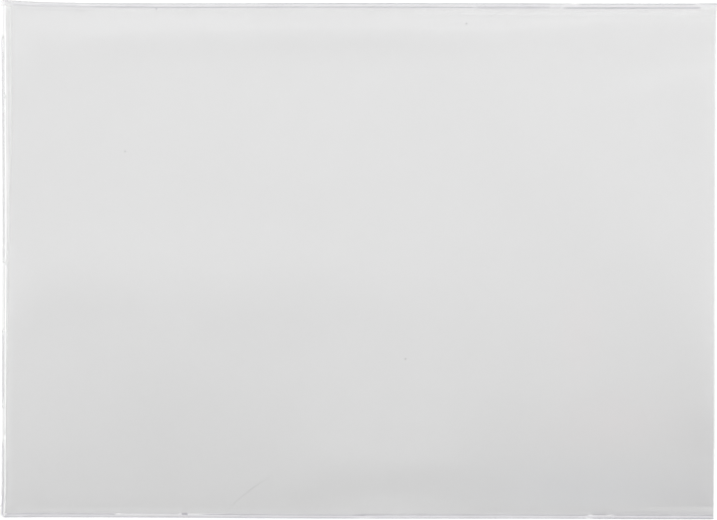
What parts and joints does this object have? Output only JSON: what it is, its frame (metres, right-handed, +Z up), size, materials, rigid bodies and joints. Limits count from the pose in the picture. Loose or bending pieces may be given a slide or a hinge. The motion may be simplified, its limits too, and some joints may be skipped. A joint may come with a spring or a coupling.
{
  "type": "document sleeve",
  "caption": "Flat clear soft-film document sleeve for A4 paper, welded along three edges and open at one short end.",
  "frame": {"origin": "middle of the sleeve's outline, on the plane that it lies on", "axes": "+X along the long side towards the open end, +Y across the sleeve, +Z up out of the film"},
  "size_m": [0.3064, 0.222, 0.0023],
  "materials": {
    "clear_film": "smooth clear soft vinyl film, faintly grey"
  },
  "bodies": {
    "root": {"back_film": "clear_film", "front_film": "clear_film"}
  },
  "joints": []
}
